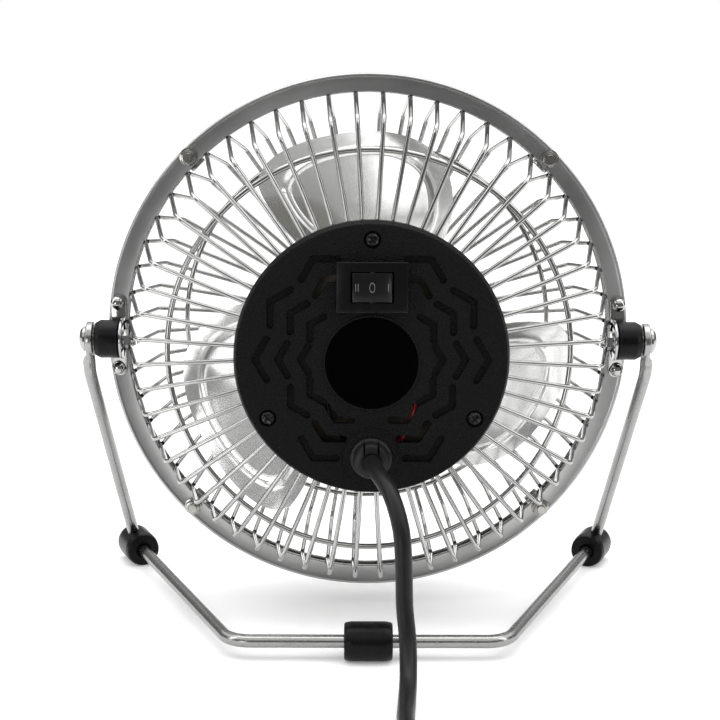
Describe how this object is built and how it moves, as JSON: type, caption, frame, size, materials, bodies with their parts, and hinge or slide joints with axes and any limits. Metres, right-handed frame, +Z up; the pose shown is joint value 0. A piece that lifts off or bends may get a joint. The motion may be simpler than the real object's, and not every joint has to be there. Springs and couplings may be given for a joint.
{
  "type": "desk fan",
  "caption": "Small metal desk fan with a tilting round wire-guarded head on a bent rod stand, a rear rocker switch and a USB cord.",
  "frame": {"origin": "on the surface the fan stands on, under the middle of its bounding box without the cord", "axes": "+Z up, +X across the fan to its own left, and the fan blows toward -Y, so its switch and cord face +Y"},
  "size_m": [0.181, 0.2525, 0.1714],
  "materials": {
    "chrome_plate": "polished chrome plate",
    "bright_steel": "zinc-plated steel",
    "blade_aluminium": "polished aluminium sheet",
    "black_plastic": "fine-grained black moulded plastic",
    "black_gloss": "smooth black plastic",
    "black_rubber": "black rubber",
    "dark_screw": "blackened steel",
    "red_lead": "red insulation",
    "black_lead": "black insulation"
  },
  "bodies": {
    "stand": {"stand_rod": "chrome_plate", "foot_left": "black_rubber", "foot_right": "black_rubber", "foot_rear": "black_rubber", "power_cord": "black_rubber", "cord_coil": "black_rubber", "coil_tie": "black_lead", "plug_lead": "black_rubber", "usb_plug_body": "black_rubber", "usb_plug_shell": "bright_steel"},
    "head": {"outer_rim": "chrome_plate", "rear_guard": "chrome_plate", "front_guard": "chrome_plate", "front_badge": "black_gloss", "rear_cover": "black_plastic", "label_disc": "black_gloss", "switch_body": "black_plastic", "cord_gland": "black_plastic", "lead_wire_red": "red_lead", "lead_wire_black": "black_lead", "motor_can": "bright_steel", "motor_screw_1": "dark_screw", "motor_screw_2": "dark_screw", "cover_screw_1": "dark_screw", "cover_screw_2": "dark_screw", "cover_screw_3": "dark_screw", "rim_screw_1": "bright_steel", "rim_nut_1": "bright_steel", "rim_screw_2": "bright_steel", "rim_nut_2": "bright_steel", "rim_screw_3": "bright_steel", "rim_nut_3": "bright_steel", "rim_screw_4": "bright_steel", "rim_nut_4": "bright_steel", "pivot_bracket_left": "chrome_plate", "bracket_rivet_left_upper": "chrome_plate", "bracket_rivet_left_lower": "chrome_plate", "pivot_bushing_left": "black_rubber", "pivot_screw_left": "chrome_plate", "pivot_nut_left": "chrome_plate", "pivot_bracket_right": "chrome_plate", "bracket_rivet_right_upper": "chrome_plate", "bracket_rivet_right_lower": "chrome_plate", "pivot_bushing_right": "black_rubber", "pivot_screw_right": "chrome_plate", "pivot_nut_right": "chrome_plate"},
    "rotor": {"motor_shaft": "bright_steel", "fan_blades": "blade_aluminium", "hub_cap": "black_gloss"},
    "rocker": {"switch_rocker": "black_gloss"}
  },
  "joints": [
    {"name": "head_tilt", "type": "hinge", "parent": "stand", "child": "head", "pos_m": [0, 0.0056, 0.0889], "axis": [-1, 0, 0], "range_deg": [-30, 45], "deforming": ["power_cord"]},
    {"name": "fan_spin", "type": "hinge", "parent": "head", "child": "rotor", "pos_m": [0, 0, 0.0889], "axis": [0, -1, 0], "continuous": true},
    {"name": "switch_rock", "type": "hinge", "parent": "head", "child": "rocker", "pos_m": [-0.00065, 0.03715, 0.1099], "axis": [0, 0, 1], "range_deg": [-12, 12]}
  ]
}
